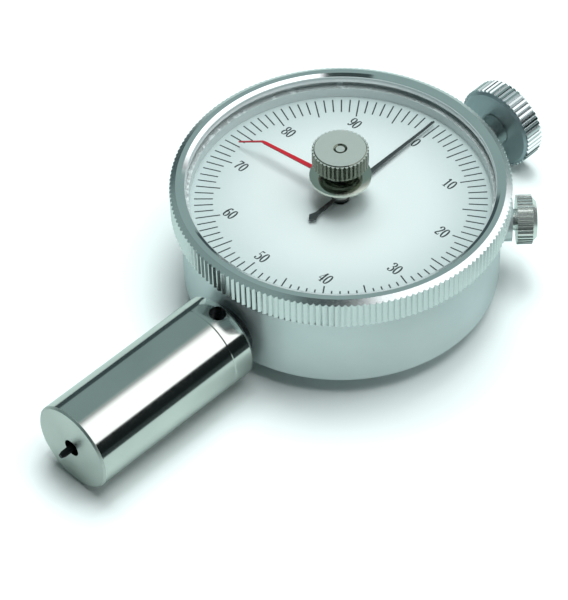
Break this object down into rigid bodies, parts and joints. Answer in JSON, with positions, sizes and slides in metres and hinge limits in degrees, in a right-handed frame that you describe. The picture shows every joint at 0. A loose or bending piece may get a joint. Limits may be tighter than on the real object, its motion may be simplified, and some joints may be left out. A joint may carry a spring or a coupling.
{
  "type": "hardness tester",
  "caption": "Dial hardness tester lying on its back: round dial case with knurled bezel, spring-loaded indenter in a polished barrel foot, red drag hand with reset knob.",
  "frame": {"origin": "centre of the rear cover's flat rest face, on the dial's axis", "axes": "+Z out of the dial, +Y along the stem away from the pressing foot, +X to the right of the dial"},
  "size_m": [0.0594, 0.1128, 0.0317],
  "materials": {
    "satin_aluminium": "satin turned and clear anodised",
    "bezel_aluminium": "bright turned, coin edged",
    "polished_nickel": "polished nickel plate",
    "dark_steel": "blackened",
    "black_hand": "satin black",
    "red_hand": "gloss red",
    "white_dial": "matt white",
    "clear_crystal": "polished",
    "ground_steel": "ground",
    "movement_brass": "fine turned",
    "inner_ring": "matt"
  },
  "bodies": {
    "case": {"case_body": "satin_aluminium", "rear_cover": "satin_aluminium", "rear_cover_screws": "ground_steel", "bezel_snap_ring": "ground_steel", "clamp_block": "dark_steel", "lower_stem": "dark_steel", "stem_collar": "polished_nickel", "collar_set_screw": "dark_steel", "presser_foot": "polished_nickel", "spring_adjuster": "movement_brass", "lower_guide_bush": "movement_brass", "calibrated_spring": "ground_steel", "upper_stem": "polished_nickel", "upper_guide_bush": "movement_brass", "movement_plate": "movement_brass", "plate_pillars": "ground_steel", "plate_screws": "ground_steel", "centre_bridge": "movement_brass", "bridge_pillars": "ground_steel", "bridge_screws": "ground_steel", "pivot_bushes": "movement_brass", "centre_bush": "movement_brass", "hairspring": "ground_steel", "hairspring_stud": "ground_steel"},
    "bezel": {"bezel_ring": "bezel_aluminium", "bezel_carrier": "inner_ring", "dial_plate": "white_dial", "distance_ring": "inner_ring", "crystal": "clear_crystal", "crystal_bush": "polished_nickel", "crystal_bush_nut": "movement_brass"},
    "red_hand": {"reset_knob": "polished_nickel", "reset_stem": "polished_nickel", "red_hand_hub": "red_hand", "red_hand": "red_hand", "friction_washer": "polished_nickel"},
    "spindle": {"spindle": "ground_steel", "indenter_pin": "dark_steel", "guide_pin": "ground_steel"},
    "main_hand": {"centre_arbor": "ground_steel", "main_hand": "black_hand", "main_hand_boss": "polished_nickel"},
    "drive_arbor": {"rack_pinion_arbor": "ground_steel", "drive_wheel": "movement_brass"},
    "take_up": {"take_up_arbor": "ground_steel", "take_up_wheel": "movement_brass", "hairspring_collet": "movement_brass"},
    "clamp_screw": {"clamp_screw": "polished_nickel"},
    "top_knob": {"top_knob": "polished_nickel"}
  },
  "joints": [
    {"name": "spindle_travel", "type": "slide", "parent": "case", "child": "spindle", "axis": [0, 1, 0], "range_m": [0, 0.0025], "stiffness_N_per_m": 3000, "springref_m": -0.00018, "deforming": ["calibrated_spring"]},
    {"name": "drive_arbor_turn", "type": "hinge", "parent": "case", "child": "drive_arbor", "pos_m": [-0.00354, 0.00827, 0.0116], "axis": [0, 0, 1], "range_deg": [-2, 75]},
    {"name": "main_hand_turn", "type": "hinge", "parent": "case", "child": "main_hand", "pos_m": [0, 0, 0.02065], "axis": [0, 0, 1], "range_deg": [-365, 5]},
    {"name": "take_up_turn", "type": "hinge", "parent": "case", "child": "take_up", "pos_m": [0.00354, -0.00827, 0.0116], "axis": [0, 0, 1], "range_deg": [-2, 75]},
    {"name": "bezel_turn", "type": "hinge", "parent": "case", "child": "bezel", "pos_m": [0, 0, 0.0197], "axis": [0, 0, 1], "continuous": true},
    {"name": "red_hand_turn", "type": "hinge", "parent": "bezel", "child": "red_hand", "pos_m": [0, 0, 0.03], "axis": [0, 0, 1], "range_deg": [-96, 264]},
    {"name": "clamp_screw_turn", "type": "hinge", "parent": "case", "child": "clamp_screw", "pos_m": [0.02121, 0.02121, 0.01355], "axis": [0.7071, 0.7071, 0], "range_deg": [0, 180]},
    {"name": "top_knob_turn", "type": "hinge", "parent": "case", "child": "top_knob", "pos_m": [0, 0.043, 0.00835], "axis": [0, 1, 0], "range_deg": [0, 360]}
  ],
  "couplings": [
    {"joint": "drive_arbor_turn", "follows": "spindle_travel", "rad_per_m": 502.65},
    {"joint": "main_hand_turn", "follows": "spindle_travel", "rad_per_m": -2513.3},
    {"joint": "take_up_turn", "follows": "spindle_travel", "rad_per_m": 502.65}
  ]
}
